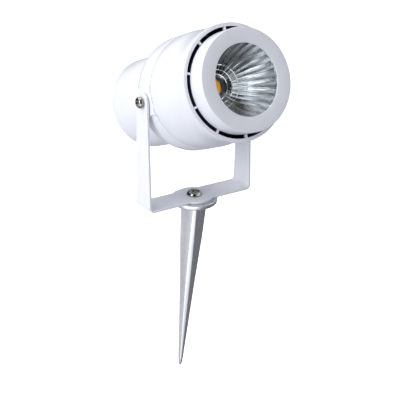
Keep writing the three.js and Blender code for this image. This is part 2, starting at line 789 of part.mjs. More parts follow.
const head = new THREE.Group();
head.add(
  piece('front_bezel', frontBezel(), 'whitePaint'),
  piece('front_glass', frontGlass(), 'clearGlass'),
  piece('glass_gasket', glassGasket(), 'blackRubber'),
  piece('reflector', reflector(), 'mirror'),
  piece('cob_board', cobBoard(), 'ceramic'),
  piece('cob_emitter', cobEmitter(), 'phosphor'),
  piece('cob_holder', cobHolder(), 'greyPlastic'),
  ...screwsAround('cob_holder_screw', HOLDER_SCREW_CIRCLE, [0, 180], HOLDER_TOP + GAP, true, holderScrew),
  piece('heat_sink', heatSink(), 'heatSinkAluminium'),
  ...screwsAround('heat_sink_screw', HUB_SCREW_CIRCLE, THREE_AROUND, BULKHEAD_REAR - GAP, false),
  ...screwsAround('bezel_screw', BEZEL_SCREW_CIRCLE, THREE_AROUND, PLATE_REAR - GAP, false),
  piece('shroud', shroud(), 'whitePaint'),
  piece('mid_housing', midHousing(), 'whitePaint'),
  piece('housing_gasket', housingGasket(), 'blackRubber'),
  piece('rear_housing', rearHousing(), 'whitePaint'),
  ...screwsAround('rear_housing_screw', REAR_SCREW_CIRCLE, THREE_AROUND, BULKHEAD_FRONT + GAP, true),
  piece('lead_grommet', leadGrommet(), 'blackRubber'),
  piece('led_lead_positive', ledLead(LEAD_SPACING / 2), 'redSleeve'),
  piece('led_lead_negative', ledLead(-LEAD_SPACING / 2), 'blackPlastic'),
  piece('driver_tray', driverTray(), 'blackPlastic'),
  piece('driver_board', driverBoard(), 'circuitBoard'),
  piece('driver_transformer', driverTransformer(), 'transformerTape'),
  piece('driver_capacitor_1', driverCapacitor(-7), 'blackPlastic'),
  piece('driver_capacitor_2', driverCapacitor(7), 'blackPlastic'),
  piece('driver_inductor', driverInductor(), 'blackPlastic'),
  piece('terminal_block', terminalBlock(), 'greyPlastic'),
  piece('gland_body', glandBody(), 'blackPlastic'),
  piece('gland_o_ring', glandORing(), 'blackRubber'),
  piece('gland_lock_nut', glandLockNut(), 'blackPlastic'),
  piece('gland_seal', glandSeal(), 'blackRubber'),
  piece('gland_nut', glandNut(), 'blackPlastic'),
  ...pivotFasteners('left', -1),
  ...pivotFasteners('right', 1),
);
head.position.set(0, 0, PIVOT_HEIGHT);
head.rotation.x = -HEAD_TILT;

const baseScrew = panScrew(BASE_SCREW).translate(0, 0, BRACKET_BOTTOM + SHEET + GAP);

const light = new THREE.Group();
light.add(
  piece('spike', spike(), 'castAluminium'),
  piece('base_screw', baseScrew, 'stainless'),
  piece('bracket', bracket(), 'whitePaint'),
  head,
);

export default light;
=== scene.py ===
import json
import math

import bmesh
import bpy
from bpy.props import FloatProperty, FloatVectorProperty, IntProperty, PointerProperty
from mathutils import Matrix, Vector


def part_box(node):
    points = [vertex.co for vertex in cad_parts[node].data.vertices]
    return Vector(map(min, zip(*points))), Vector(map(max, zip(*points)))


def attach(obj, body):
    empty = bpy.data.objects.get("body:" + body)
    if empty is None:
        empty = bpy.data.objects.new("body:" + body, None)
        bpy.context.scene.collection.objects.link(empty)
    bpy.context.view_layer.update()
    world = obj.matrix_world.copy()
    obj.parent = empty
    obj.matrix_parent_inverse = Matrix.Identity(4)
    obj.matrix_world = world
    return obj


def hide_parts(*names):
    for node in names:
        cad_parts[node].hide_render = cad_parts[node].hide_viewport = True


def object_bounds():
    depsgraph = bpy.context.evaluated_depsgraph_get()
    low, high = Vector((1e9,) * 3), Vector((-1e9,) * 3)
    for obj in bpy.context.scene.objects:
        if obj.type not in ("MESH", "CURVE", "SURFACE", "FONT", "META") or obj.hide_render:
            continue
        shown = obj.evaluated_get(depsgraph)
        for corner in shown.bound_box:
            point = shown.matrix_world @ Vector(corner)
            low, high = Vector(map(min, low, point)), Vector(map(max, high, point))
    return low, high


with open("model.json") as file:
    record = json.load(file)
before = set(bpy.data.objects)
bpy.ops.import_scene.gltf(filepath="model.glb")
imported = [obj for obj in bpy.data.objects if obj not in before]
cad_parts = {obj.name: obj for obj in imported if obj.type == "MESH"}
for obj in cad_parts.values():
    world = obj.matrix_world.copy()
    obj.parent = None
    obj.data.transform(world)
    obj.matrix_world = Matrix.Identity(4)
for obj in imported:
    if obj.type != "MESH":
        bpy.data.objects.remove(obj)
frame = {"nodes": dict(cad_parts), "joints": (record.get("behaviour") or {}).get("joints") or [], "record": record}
CAD_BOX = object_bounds()

bl_info = {
    "name": "Garden Spotlight on a Spike",
    "version": (1, 0, 0),
    "blender": (4, 5, 0),
    "location": "View3D > Sidebar > Spotlight",
    "description": "Builds the pieces, finishes and studio of a garden spotlight round its frame",
    "category": "Object",
}

# ---- Places taken from the frame ----------------------------------------------------------
# The frame is in metres. The shapes are in millimetres, and those of the head are modelled with the
# tilt axis along X and the lamp pointing to -Y, so that a forward distance is -Y.
MM = 0.001
JOINTS = {joint["name"]: joint for joint in frame["joints"]}
MOUNTS = {mount["name"]: mount for mount in frame["record"]["mounts"]}
PIVOT = Vector(JOINTS["head_tilt"]["pos_m"])
LAMP_AXIS = Vector(MOUNTS["bezel_face"]["axis"]).normalized()
HEAD_TILT = math.asin(LAMP_AXIS.z)
ON_HEAD = Matrix.Translation(PIVOT) @ Matrix.Rotation(-HEAD_TILT, 4, "X")
SPIKE_LOW, SPIKE_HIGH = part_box("spike")
STRAP_LOW, STRAP_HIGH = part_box("bracket")

# ---- Sizes of the head in mm: forward distances from the tilt axis, and radii -----------------
RING_FACE, RING_BACK, RING_RADIUS = 87.5, 69.2, 45.3
RING_SHEET = 1.5
BARREL_RADIUS, BARREL_END = 45.0, 40.3
JACKET_FRONT, JACKET_REAR, JACKET_RADIUS, JACKET_BORE = 69.7, 12.3, 53.2, 50.3
MIDDLE_FRONT, MIDDLE_REAR, MIDDLE_RADIUS = 12, -24.1, 53.4
REAR_FRONT, REAR_END, REAR_RADIUS, REAR_BORE = -25.6, -89.9, 43.5, 40.7
GLAND_BORE, GLAND_ACROSS = 4.5, 17
THROAT_AT, MOUTH_AT, MOUTH_RADIUS = 36.3, 82.8, 35.2

ROUND_STEPS = 144
# Noise seldom leaves this range, so it is what a finish spreads between its two values.
NOISE_LOW, NOISE_HIGH = 0.3, 0.7
# Marks the faces of a painted piece that are painted dark inside it, as shade in its slots and recesses. The faces
# in white paint are 0.
SLOT_SHADE = 1


# ---- Mesh helpers -------------------------------------------------------------------------
def chain_of(bm, points, closed):
    """New vertices at the points, joined by edges in their order."""
    chain = [bm.verts.new(point) for point in points]
    for first, second in zip(chain, chain[1:] + (chain[:1] if closed else [])):
        bm.edges.new((first, second))
    return chain


def round_off(bm, geom, distance, segments, affect="EDGES", clamp=True):
    """Rounds the given edges or corners over a distance in mm."""
    bmesh.ops.bevel(
        bm, geom=geom, offset=distance, offset_type="OFFSET", segments=segments, profile=0.5,
        affect=affect, material=-1, clamp_overlap=clamp)


def rotate(bm, angle, axis="Z", verts=None, about=(0, 0, 0)):
    """Turns the mesh, or only some of its vertices."""
    bmesh.ops.rotate(
        bm, verts=verts or bm.verts, cent=about, matrix=Matrix.Rotation(angle, 3, axis))


def repeat_round(bm, count):
    """Copies the whole mesh round the lamp's axis, so that it is there count times."""
    bmesh.ops.spin(
        bm, geom=bm.verts[:] + bm.edges[:] + bm.faces[:], cent=(0, 0, 0), axis=(0, 1, 0),
        angle=math.tau * (count - 1) / count, steps=count - 1, use_merge=False,
        use_duplicate=True)


def lathe(outline, rounds=None, steps=ROUND_STEPS, closed=True, about="Y"):
    """A turned piece in mm. The outline is (radius, forward) about Y, or (radius, height) about Z.
    rounds gives the corners to ease: the corner's number, then its distance and segments."""
    bm = bmesh.new()
    place = (lambda r, s: (r, -s, 0)) if about == "Y" else (lambda r, s: (r, 0, s))
    corners = chain_of(bm, [place(r, s) for r, s in outline], closed)
    for number, (distance, segments) in (rounds or {}).items():
        round_off(bm, [corners[number]], distance, segments, "VERTICES", False)
    bmesh.ops.remove_doubles(bm, verts=bm.verts, dist=0.002)
    bmesh.ops.spin(
        bm, geom=bm.verts[:] + bm.edges[:], cent=(0, 0, 0),
        axis=(0, 1, 0) if about == "Y" else (0, 0, 1), angle=math.tau, steps=steps,
        use_merge=True, use_duplicate=False,
    )
    bmesh.ops.remove_doubles(bm, verts=bm.verts, dist=0.002)
    bmesh.ops.dissolve_degenerate(bm, edges=bm.edges, dist=0.001)
    bmesh.ops.recalc_face_normals(bm, faces=bm.faces)
    return bm


def block(low, high, ease=0.0, segments=2):
    """A box in mm between two corners, with its edges eased."""
    bm = bmesh.new()
    size = [high[i] - low[i] for i in range(3)]
    bmesh.ops.create_cube(bm, size=1)
    bmesh.ops.scale(bm, verts=bm.verts, vec=size)
    bmesh.ops.translate(bm, verts=bm.verts, vec=[(high[i] + low[i]) / 2 for i in range(3)])
    if ease:
        round_off(bm, bm.edges[:], ease, segments)
    return bm


def ease_edges(bm, distance, segments=2, over=50.0):
    """Rounds each edge whose two faces meet at more than the given angle."""
    sharp = [
        e for e in bm.edges
        if len(e.link_faces) == 2 and e.calc_face_angle(0) > math.radians(over)]
    round_off(bm, sharp, distance, segments)


def join(parts):
    """Puts the shells of several pieces in one mesh."""
    whole = parts[0]
    for part in parts[1:]:
        scratch = bpy.data.meshes.new("scratch")
        part.to_mesh(scratch)
        whole.from_mesh(scratch)
        part.free()
        bpy.data.meshes.remove(scratch)
    return whole


def trim(bm, cutter, operation="DIFFERENCE"):
    """Cuts one solid with another, and gives the result as a new bmesh."""
    objects = []
    for part in (bm, cutter):
        mesh = bpy.data.meshes.new("scratch")
        part.to_mesh(mesh)
        part.free()
        objects.append(bpy.data.objects.new("scratch", mesh))
        bpy.context.scene.collection.objects.link(objects[-1])
    body, tool = objects
    modifier = body.modifiers.new("trim", "BOOLEAN")
    modifier.operation = operation
    modifier.solver = "EXACT"
    modifier.object = tool
    shaped = body.evaluated_get(bpy.context.evaluated_depsgraph_get()).to_mesh()
    result = bmesh.new()
    result.from_mesh(shaped)
    for scratch in objects:
        mesh = scratch.data
        bpy.data.objects.remove(scratch)
        bpy.data.meshes.remove(mesh)
    if len(result.faces) < 4:
        raise RuntimeError("A cut left nothing of its piece.")
    return result


def finish_piece(bm, name, body, node, slot, place=Matrix(), sharp=35.0, mark=None):
    """Makes the mesh a piece of the light: in metres, in its place, smooth, riding on its body. It
    takes its slot's finish, and black anodising as painted shade on the faces that mark or the
    shape gives the shade mark."""
    bmesh.ops.transform(bm, matrix=place @ Matrix.Scale(MM, 4), verts=bm.verts)
    if mark:
        for face in bm.faces:
            face.material_index = mark(face)
    mesh = bpy.data.meshes.new(name)
    bm.to_mesh(mesh)
    bm.free()
    mesh.materials.append(FINISHES[slot])
    if any(face.material_index == SLOT_SHADE for face in mesh.polygons):
        mesh.materials.append(FINISHES["heat_sink_aluminium"])
    mesh.shade_smooth()
    mesh.set_sharp_from_angle(angle=math.radians(sharp))
    piece = bpy.data.objects.new(name, mesh)
    bpy.context.scene.collection.objects.link(piece)
    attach(piece, body)
    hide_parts(node)


# ---- Material helpers ---------------------------------------------------------------------
def linear(colour):
    """An sRGB hex colour as linear red, green and blue."""
    channels = [int(colour[i:i + 2], 16) / 255 for i in (0, 2, 4)]
    return [c / 12.92 if c <= 0.04045 else ((c + 0.055) / 1.055) ** 2.4 for c in channels]


def add(tree, kind, settings=None, inputs=None):
    """Adds a node with its settings, and sets or links its inputs."""
    node = tree.nodes.new(kind)
    for key, value in (settings or {}).items():
        setattr(node, key, value)
    for socket, value in (inputs or {}).items():
        if isinstance(value, bpy.types.NodeSocket):
            tree.links.new(value, node.inputs[socket])
        else:
            node.inputs[socket].default_value = value
    return node


def new_finish(name, dark, light, *patterns, stretch=(1, 1, 1)):
    """A new material coloured by two close tones in soft spots. Each pattern is the size in mm and
    the detail of a noise. Gives the colour, which follows the first noise, and the noises."""
    material = bpy.data.materials.new(name)
    material.use_nodes = True
    tree = material.node_tree
    tree.nodes.clear()
    where = add(tree, "ShaderNodeTexCoord").outputs["Object"]
    along = add(tree, "ShaderNodeMapping", inputs={"Vector": where, "Scale": stretch})
    noises = [
        add(tree, "ShaderNodeTexNoise", inputs={
            "Vector": along.outputs["Vector"], "Scale": 1 / (size * MM), "Detail": detail,
            "Roughness": 0.5,
        }).outputs["Fac"]
        for size, detail in patterns]
    share = add(tree, "ShaderNodeMapRange", inputs={
        "Value": noises[0], "From Min": NOISE_LOW, "From Max": NOISE_HIGH}).outputs["Result"]
    colour = add(tree, "ShaderNodeMix", {"data_type": "RGBA"}, {
        "Factor": share, 6: (*dark, 1), 7: (*light, 1)}).outputs[2]
    return material, tree, colour, noises


def speckled(
        name, dark, light, spot_mm, rough, depth_mm, grain_mm, metallic=0.0, stretch=(1, 1, 1)):
    """A finish of two close tones in soft spots, with a fine grain in its gloss and relief."""
    material, tree, colour, (_, fine) = new_finish(
        name, linear(dark), linear(light), (spot_mm, 3.0), (grain_mm, 2.0), stretch=stretch)
    shader = add(tree, "ShaderNodeBsdfPrincipled", inputs={
        "Base Color": colour,
        "Roughness": add(tree, "ShaderNodeMapRange", inputs={
            "Value": fine, "From Min": NOISE_LOW, "From Max": NOISE_HIGH,
            "To Min": rough - 0.05, "To Max": rough + 0.05}).outputs["Result"],
        "Metallic": metallic,
        "Normal": add(tree, "ShaderNodeBump", inputs={
            "Height": fine, "Distance": depth_mm * MM, "Strength": 0.6}).outputs["Normal"],
    })
    add(tree, "ShaderNodeOutputMaterial", inputs={"Surface": shader.outputs["BSDF"]})
    return material


# ---- Sizes and colours --------------------------------------------------------------------
class SpotlightSpike(bpy.types.PropertyGroup):
    flange_radius: FloatProperty(
        name="Flange radius", description="Radius of the round flange that stops at the soil",
        default=SPIKE_HIGH.x, unit="LENGTH")
    flange_thickness: FloatProperty(
        name="Flange thickness", description="Thickness of the flange",
        default=SPIKE_HIGH.z, unit="LENGTH")
    width: FloatProperty(
        name="Shaft width", description="Width of the square shaft under the flange",
        default=0.0198, unit="LENGTH")
    corner: FloatProperty(
        name="Cut corner", description="Share of the shaft's width taken off each corner",
        default=0.2, min=0.05, max=0.3, subtype="FACTOR")
    turn: FloatProperty(
        name="Shaft turn", description="Turn of the square shaft from the bracket's length",
        default=math.radians(18), subtype="ANGLE")
    lean: FloatVectorProperty(
        name="Tip offset", description="How far the tip stands from the middle of the flange",
        size=2, default=(-0.0107, 0.0069), unit="LENGTH")


class SpotlightBracket(bpy.types.PropertyGroup):
    sheet: FloatProperty(
        name="Sheet", description="Thickness of the bent sheet", default=0.002, unit="LENGTH")
    base_width: FloatProperty(
        name="Base width", description="Width of the strap at the base",
        default=0.027, unit="LENGTH")
    top_width: FloatProperty(
        name="Top width", description="Width of the arms at the pivot",
        default=0.0179, unit="LENGTH")
    boss_radius: FloatProperty(
        name="Boss radius", description="Radius of the round bulge about the base screw",
        default=0.0183, unit="LENGTH")
    bend_radius: FloatProperty(
        name="Bend radius", description="Inner radius of the two bends",
        default=0.003, unit="LENGTH")


class SpotlightHead(bpy.types.PropertyGroup):
    facets: IntProperty(
        name="Flutes", description="Number of rounded flutes round the reflector",
        default=34, min=12, max=72)
    tabs: IntProperty(
        name="Tabs", description="Number of tabs that bridge the slot behind the front ring",
        default=10, min=3, max=24)
    aperture_radius: FloatProperty(
        name="Aperture radius", description="Radius of the opening in the front ring",
        default=0.0316, unit="LENGTH")


class SpotlightColours(bpy.types.PropertyGroup):
    paint: FloatVectorProperty(
        name="Powder coat", description="Colour of the painted shells and bracket",
        subtype="COLOR", size=3, min=0, max=1, default=linear("EEF0F5"))
    emitter: FloatVectorProperty(
        name="Light source", description="Colour of the phosphor when the lamp is off",
        subtype="COLOR", size=3, min=0, max=1, default=linear("E29A2C"))
    floor: FloatVectorProperty(
        name="Floor", description="Colour of the studio floor",
        subtype="COLOR", size=3, min=0, max=1, default=linear("F6F7F8"))


class SpotlightSettings(bpy.types.PropertyGroup):
    spike: PointerProperty(type=SpotlightSpike)
    bracket: PointerProperty(type=SpotlightBracket)
    head: PointerProperty(type=SpotlightHead)
    colours: PointerProperty(type=SpotlightColours)


# ---- Finishes -----------------------------------------------------------------------------
def powder_coat(name, tint):
    """White polyester powder coat on die-cast aluminium and steel: a soft satin gloss with a very
    slight orange peel, which keeps large curved walls from looking like plastic."""
    shade = [c * 0.965 for c in tint]
    material, tree, coat, (_, peel) = new_finish(name, shade, tint, (14, 2.0), (1.3, 1.0))
    # The colour greys where a wall turns away from the eye: painted shade that draws the outlines of the shells.
    # It follows the camera, so an exported model loses it.
    edge = add(tree, "ShaderNodeMapRange", {"interpolation_type": "SMOOTHSTEP"}, {
        "Value": add(tree, "ShaderNodeLayerWeight", inputs={"Blend": 0.5}).outputs["Facing"],
        "From Min": 0.6, "From Max": 1.0, "To Min": 0.0, "To Max": 0.62}).outputs["Result"]
    coat_with_painted_outline_shade = add(tree, "ShaderNodeMix", {"data_type": "RGBA"}, {
        "Factor": edge, 6: coat, 7: (*linear("9FA4AE"), 1)}).outputs[2]
    shader = add(tree, "ShaderNodeBsdfPrincipled", inputs={
        "Base Color": coat_with_painted_outline_shade,
        "Roughness": add(tree, "ShaderNodeMapRange", inputs={
            "Value": peel, "From Min": NOISE_LOW, "From Max": NOISE_HIGH,
            "To Min": 0.34, "To Max": 0.42}).outputs["Result"],
        "IOR": 1.5,
        "Normal": add(tree, "ShaderNodeBump", inputs={
            "Height": peel, "Distance": 0.012 * MM, "Strength": 0.5}).outputs["Normal"],
    })
    add(tree, "ShaderNodeOutputMaterial", inputs={"Surface": shader.outputs["BSDF"]})
    return material


def phosphor_gel(name, tint):
    """Phosphor in clear silicone over the diodes: orange-yellow, grainy and softly wet. Daylight
    makes it fluoresce, so it is lighter than paint of its colour, and a little glow gives that."""
    shade = [c * 0.8 for c in tint]
    material, tree, colour, (grains,) = new_finish(name, shade, tint, (0.5, 2.0))
    shader = add(tree, "ShaderNodeBsdfPrincipled", inputs={
        "Base Color": colour,
        "Emission Color": colour,
        "Emission Strength": 0.6,
        "Roughness": add(tree, "ShaderNodeMapRange", inputs={
            "Value": grains, "From Min": NOISE_LOW, "From Max": NOISE_HIGH,
            "To Min": 0.3, "To Max": 0.4}).outputs["Result"],
        "IOR": 1.41,
        "Coat Weight": 0.3,
        "Coat Roughness": 0.15,
        "Normal": add(tree, "ShaderNodeBump", inputs={
            "Height": grains, "Distance": 0.02 * MM, "Strength": 0.4}).outputs["Normal"],
    })
    add(tree, "ShaderNodeOutputMaterial", inputs={"Surface": shader.outputs["BSDF"]})
    return material


def lens_glass(name):
    """Toughened anti-glare glass, flat and thin: light goes straight through it, and it gives back
    only a faint, slightly smeared shine."""
    material, tree, tone, (smear,) = new_finish(
        name, linear("F9FBFB"), linear("FDFEFE"), (18, 3.0))
    clear = add(tree, "ShaderNodeBsdfTransparent", inputs={"Color": tone})
    shine = add(tree, "ShaderNodeBsdfGlossy", inputs={
        "Color": (1, 1, 1, 1),
        "Roughness": add(tree, "ShaderNodeMapRange", inputs={
            "Value": smear, "From Min": NOISE_LOW, "From Max": NOISE_HIGH,
            "To Min": 0.02, "To Max": 0.06}).outputs["Result"]})
    mix = add(tree, "ShaderNodeMixShader", inputs={
        "Fac": 0.015, 1: clear.outputs["BSDF"], 2: shine.outputs["BSDF"]})
    add(tree, "ShaderNodeOutputMaterial", inputs={"Surface": mix.outputs["Shader"]})
    return material


def make_finishes(colours):
    """Every finish of the light, by the material slot that it fills."""
    return {
        "white_paint": powder_coat("white_powder_coat", list(colours.paint)),
        # Cast aluminium, barrel polished: a broad silvery sheen with fine lines along the shaft.
        "cast_aluminium": speckled(
            "polished_cast_aluminium", "CDD0D6", "E2E4E9", 9, 0.3, 0.01, 0.8,
            metallic=0.88, stretch=(1, 1, 0.12)),
        # Stainless steel, cold headed and tumbled: dark and light reflections that break up over
        # the domed head, with faint dents from tumbling.
        "stainless_steel": speckled(
            "tumbled_stainless_steel", "8F8E8C", "B0AFAD", 2.5, 0.17, 0.02, 0.9, metallic=1.0),
        # Vacuum-metallised mirror: almost clean reflections, softened by the moulded base.
        "mirror_aluminium": speckled(
            "metallised_mirror", "DCDEE1", "EEF0F2", 6, 0.05, 0.002, 1.6, metallic=1.0),
        # Black anodised aluminium of the heat sink: matt, faintly blue. On the shells' insides it is painted
        # shade, which darkens the slots and recesses.
        "heat_sink_aluminium": speckled(
            "black_anodising_and_painted_slot_shade", "3C4658", "4A556A", 5, 0.62, 0.01, 0.5, metallic=0.3),
        # Moulded rubber seals and spacers: nearly black, dull, with a fine grain.
        "black_rubber": speckled("moulded_epdm_rubber", "151618", "232427", 4, 0.82, 0.03, 0.4),
        # Glass-filled nylon of the cable gland: deep black with a fine spark-eroded grain.
        "black_plastic": speckled("moulded_black_nylon", "17181A", "26272A", 6, 0.48, 0.03, 0.35),
        # Heat-proof moulding that holds the light source: mid grey and quite matt.
        "dark_grey_plastic": speckled(
            "moulded_grey_polymer", "4C4D55", "5F6069", 5, 0.55, 0.02, 0.4),
        "phosphor": phosphor_gel("phosphor_silicone", list(colours.emitter)),
        # Aluminium-backed board with a white solder mask: even, slightly glossy white.
        "cob_substrate": speckled("white_solder_mask", "D2D3D4", "E3E4E5", 3, 0.4, 0.01, 0.5),
        # Glass-epoxy circuit board under green mask: the weave shows as a faint mottle.
        "circuit_board": speckled("green_solder_mask", "145A32", "1F7A45", 2, 0.35, 0.01, 0.4),
        # Silicone-sleeved lead, red: smooth and a little waxy.
        "red_sleeve": speckled("red_silicone_sleeve", "9C1F26", "B92C33", 3, 0.45, 0.01, 0.4),
        # Polyester winding tape: yellow film with a slight sheen and ripples.
        "transformer_tape": speckled(
            "polyester_winding_tape", "C9A227", "E0BC46", 4, 0.3, 0.03, 1.5, stretch=(1, 1, 0.3)),
        "clear_glass": lens_glass("toughened_clear_glass"),
    }


FINISHES = {}


# ---- Shapes -------------------------------------------------------------------------------
def screw_shape(head, height, shank, length, recess):
    """A pan head screw along Z in mm, its head standing on z = 0, with a cross recess."""
    radius, shoulder = head / 2, height * 0.62
    screw = lathe(
        [(0, -length), (shank / 2 - 0.4, -length), (shank / 2, -length + 0.6), (shank / 2, 0),
         (radius, 0), (radius, shoulder), (radius * 0.62, height), (0, height)],
        {5: (radius * 0.3, 8), 6: (radius * 0.2, 4), 4: (0.2, 2)}, 64, False, "Z")
    depth, reach = shoulder, head * 0.29
    arms = []
    for turn in (0, 90):
        arm = block(
            (-reach, -recess / 2, height - depth), (reach, recess / 2, height + 0.5))
        floor = [v for v in arm.verts if v.co.z < height]
        bmesh.ops.scale(arm, verts=floor, vec=(0.42, 0.8, 1))
        rotate(arm, math.radians(turn))
        arms.append(arm)
    cross = trim(arms[0], arms[1], "UNION")
    return trim(screw, cross)


def hexagon_ring(across, bore, rear, front, steps=8):
    """A hexagon in mm with a round bore, between two forward distances on the lamp's axis."""
    bm = bmesh.new()
    bmesh.ops.create_circle(bm, segments=6, radius=across / math.sqrt(3), cap_ends=False)
    bmesh.ops.subdivide_edges(bm, edges=bm.edges, cuts=steps - 1)
    bmesh.ops.create_circle(bm, segments=6 * steps, radius=bore, cap_ends=False)
    bmesh.ops.bridge_loops(bm, edges=bm.edges)
    shell = bmesh.ops.extrude_face_region(bm, geom=bm.faces[:])
    top = [g for g in shell["geom"] if isinstance(g, bmesh.types.BMVert)]
    bmesh.ops.translate(bm, verts=top, vec=(0, 0, front - rear))
    bmesh.ops.recalc_face_normals(bm, faces=bm.faces)
    ease_edges(bm, 0.45, 2, 40)
    bmesh.ops.translate(bm, verts=bm.verts, vec=(0, 0, rear))
    rotate(bm, math.radians(90), "X")
    return bm


def shaft_shape(sizes):
    """The stake's shaft in mm: a square bar that narrows to a blunt point, with its corners cut
    off more deeply towards the point."""
    width = sizes.width / MM
    length = -SPIKE_LOW.z / MM
    # Along the shaft: the share of its length, of its width, and how deep the corners are cut.
    stations = [
        (0, 1, 0.55), (0.21, 0.904, 0.8), (0.48, 0.667, 1.1), (0.95, 0.227, 1.2),
        (0.985, 0.172, 1.2), (1, 0.08, 1.2)]
    bm = bmesh.new()
    bmesh.ops.create_cube(bm, size=1)
    bmesh.ops.translate(bm, verts=bm.verts, vec=(0, 0, -0.5))
    for cut, segments in ((sizes.corner, 1), (0.03, 2)):
        along = [e for e in bm.edges if abs(e.verts[0].co.z - e.verts[1].co.z) > 0.5]
        round_off(bm, along, cut, segments)
    for share, _, _ in stations[1:-1]:
        bmesh.ops.bisect_plane(
            bm, geom=bm.verts[:] + bm.edges[:] + bm.faces[:], plane_co=(0, 0, -share),
            plane_no=(0, 0, 1))
    for share, narrowing, depth in stations:
        ring = [v for v in bm.verts if abs(v.co.z + share) < 1e-4]
        for vert in ring:
            for side in (0, 1):
                inset = (0.5 - abs(vert.co[side])) * depth
                vert.co[side] = math.copysign(0.5 - inset, vert.co[side])
        rotate(bm, sizes.turn, verts=ring)
        bmesh.ops.scale(bm, verts=ring, vec=(width * narrowing, width * narrowing, 1))
        bmesh.ops.translate(
            bm, verts=ring, vec=(sizes.lean[0] * share / MM, sizes.lean[1] * share / MM, 0))
    overlap = 1
    bmesh.ops.scale(bm, verts=bm.verts, vec=(1, 1, length + overlap))
    bmesh.ops.translate(bm, verts=bm.verts, vec=(0, 0, overlap))
    return bm


def strap_shape(sizes):
    """The bracket in mm: a flat blank with a boss and holes, folded up at both ends, then given
    the sheet's thickness inwards."""
    half = STRAP_HIGH.x / MM
    floor = STRAP_LOW.z / MM
    sheet = sizes.sheet / MM
    bend = sizes.bend_radius / MM + sheet
    folds = 8
    fold = math.radians(90) / folds
    strip = 2 * bend * math.sin(fold / 2)
    base = half - bend
    pivot = base + strip * folds + PIVOT.z / MM - floor - bend
    top = sizes.top_width / MM / 2
    wide = sizes.base_width / MM / 2
    boss = sizes.boss_radius / MM
    meet = math.sqrt(boss ** 2 - wide ** 2)
    bm = bmesh.new()
    corners = [(-pivot, top), (-base, wide), (-meet, wide)]
    chain = chain_of(bm, [(x, y, 0) for x, y in corners], closed=False)
    bulge = 2 * math.atan2(meet, wide)
    arc = bmesh.ops.spin(
        bm, geom=[chain[-1]], cent=(0, 0, 0), axis=(0, 0, 1), angle=-bulge, steps=24,
        use_merge=False, use_duplicate=False)
    last = [g for g in arc["geom_last"] if isinstance(g, bmesh.types.BMVert)][0]
    tail = [last] + [bm.verts.new((x, y, 0)) for x, y in ((base, wide), (pivot, top))]
    for first, second in zip(tail, tail[1:]):
        bm.edges.new((first, second))
    for end, side in ((tail[-1], 1), (chain[0], -1)):
        bmesh.ops.spin(
            bm, geom=[end], cent=(side * pivot, 0, 0), axis=(0, 0, 1), angle=-side * math.pi / 2,
            steps=14, use_merge=False, use_duplicate=False)
    mirrored = bmesh.ops.duplicate(bm, geom=bm.verts[:] + bm.edges[:])
    other = [g for g in mirrored["geom"] if isinstance(g, bmesh.types.BMVert)]
    bmesh.ops.scale(bm, verts=other, vec=(1, -1, 1))
    bmesh.ops.remove_doubles(bm, verts=bm.verts, dist=0.005)
    for place, radius, steps in ((0, 4.3, 32), (pivot, 2.8, 24), (-pivot, 2.8, 24)):
        bmesh.ops.create_circle(
            bm, segments=steps, radius=radius, cap_ends=False,
            matrix=Matrix.Translation((place, 0, 0)))
    bmesh.ops.triangle_fill(bm, use_beauty=True, use_dissolve=False, edges=bm.edges)
    bmesh.ops.recalc_face_normals(bm, faces=bm.faces)
    if bm.faces[0].normal.z > 0:
        bmesh.ops.reverse_faces(bm, faces=bm.faces)
    lines = [base + strip * i for i in range(folds + 1)]
    for line in lines:
        for side in (-1, 1):
            bmesh.ops.bisect_plane(
                bm, geom=bm.verts[:] + bm.edges[:] + bm.faces[:], dist=0.0005,
                plane_co=(side * line, 0, 0), plane_no=(1, 0, 0))
    outside = {
        (side, i): [v for v in bm.verts if side * v.co.x > line + 0.001]
        for side in (-1, 1) for i, line in enumerate(lines)}
    for i in range(folds, -1, -1):
        share = 0.5 if i in (0, folds) else 1.0
        for side in (-1, 1):
            rotate(bm, -side * fold * share, "Y", outside[side, i], (side * lines[i], 0, 0))
    bmesh.ops.solidify(bm, geom=bm.faces[:], thickness=sheet)
    bmesh.ops.recalc_face_normals(bm, faces=bm.faces)
    ease_edges(bm, 0.4, 3, 60)
    bmesh.ops.translate(bm, verts=bm.verts, vec=(0, 0, floor))
    return bm


